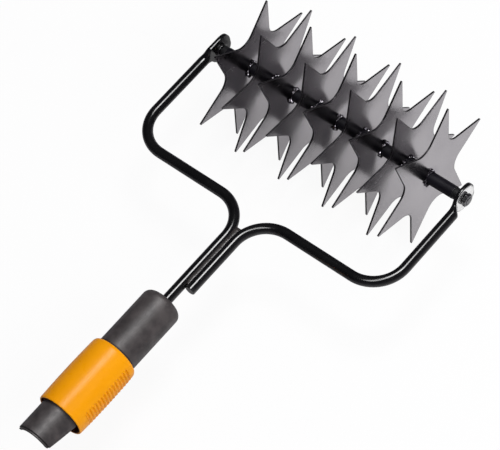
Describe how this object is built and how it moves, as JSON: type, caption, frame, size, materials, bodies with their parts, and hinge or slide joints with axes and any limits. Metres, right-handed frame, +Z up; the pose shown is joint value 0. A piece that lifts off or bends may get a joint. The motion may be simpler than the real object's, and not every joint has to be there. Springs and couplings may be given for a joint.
{
  "type": "aerator rake head",
  "caption": "Rolling aerator rake head: star wheels on a tube in a bent bar yoke, with a handle coupling and sliding lock sleeve.",
  "frame": {"origin": "on the handle's axis, at the flat seat inside the socket that the handle's end meets", "axes": "+Y along the handle's axis, forward to the roller; +X to the right along the roller's axle; +Z up, square to the plane of the yoke"},
  "size_m": [0.2721, 0.4365, 0.134],
  "materials": {
    "black_paint": "gloss",
    "star_steel": "satin mirror",
    "tube_paint": "satin",
    "zinc_steel": "satin",
    "spring_steel": "satin",
    "weld_metal": "gloss",
    "bush_nylon": "matte",
    "grey_plastic": "matte",
    "orange_plastic": "satin"
  },
  "bodies": {
    "head": {"handle_socket": "grey_plastic", "stem_pin": "spring_steel", "long_bar": "black_paint", "short_bar": "black_paint", "stem_weld_upper": "weld_metal", "stem_weld_lower": "weld_metal", "axle_rod": "zinc_steel", "axle_nut_left": "zinc_steel", "axle_nut_right": "zinc_steel", "thrust_washer_left": "zinc_steel", "thrust_washer_right": "zinc_steel"},
    "roller": {"roller_tube": "tube_paint", "bush_left": "bush_nylon", "bush_right": "bush_nylon", "star_1": "star_steel", "star_2": "star_steel", "star_3": "star_steel", "star_4": "star_steel", "star_5": "star_steel", "star_6": "star_steel", "star_7": "star_steel", "star_8": "star_steel", "star_9": "star_steel", "star_weld_1": "weld_metal", "star_weld_2": "weld_metal", "star_weld_3": "weld_metal", "star_weld_4": "weld_metal", "star_weld_5": "weld_metal", "star_weld_6": "weld_metal", "star_weld_7": "weld_metal", "star_weld_8": "weld_metal", "star_weld_9": "weld_metal"},
    "sleeve": {"lock_sleeve": "orange_plastic", "detent_ring": "spring_steel"}
  },
  "joints": [
    {"name": "roller_spin", "type": "hinge", "parent": "head", "child": "roller", "pos_m": [0.00525, 0.3175, 0], "axis": [1, 0, 0], "continuous": true},
    {"name": "sleeve_slide", "type": "slide", "parent": "head", "child": "sleeve", "axis": [0, -1, 0], "range_m": [0, 0.026]}
  ]
}
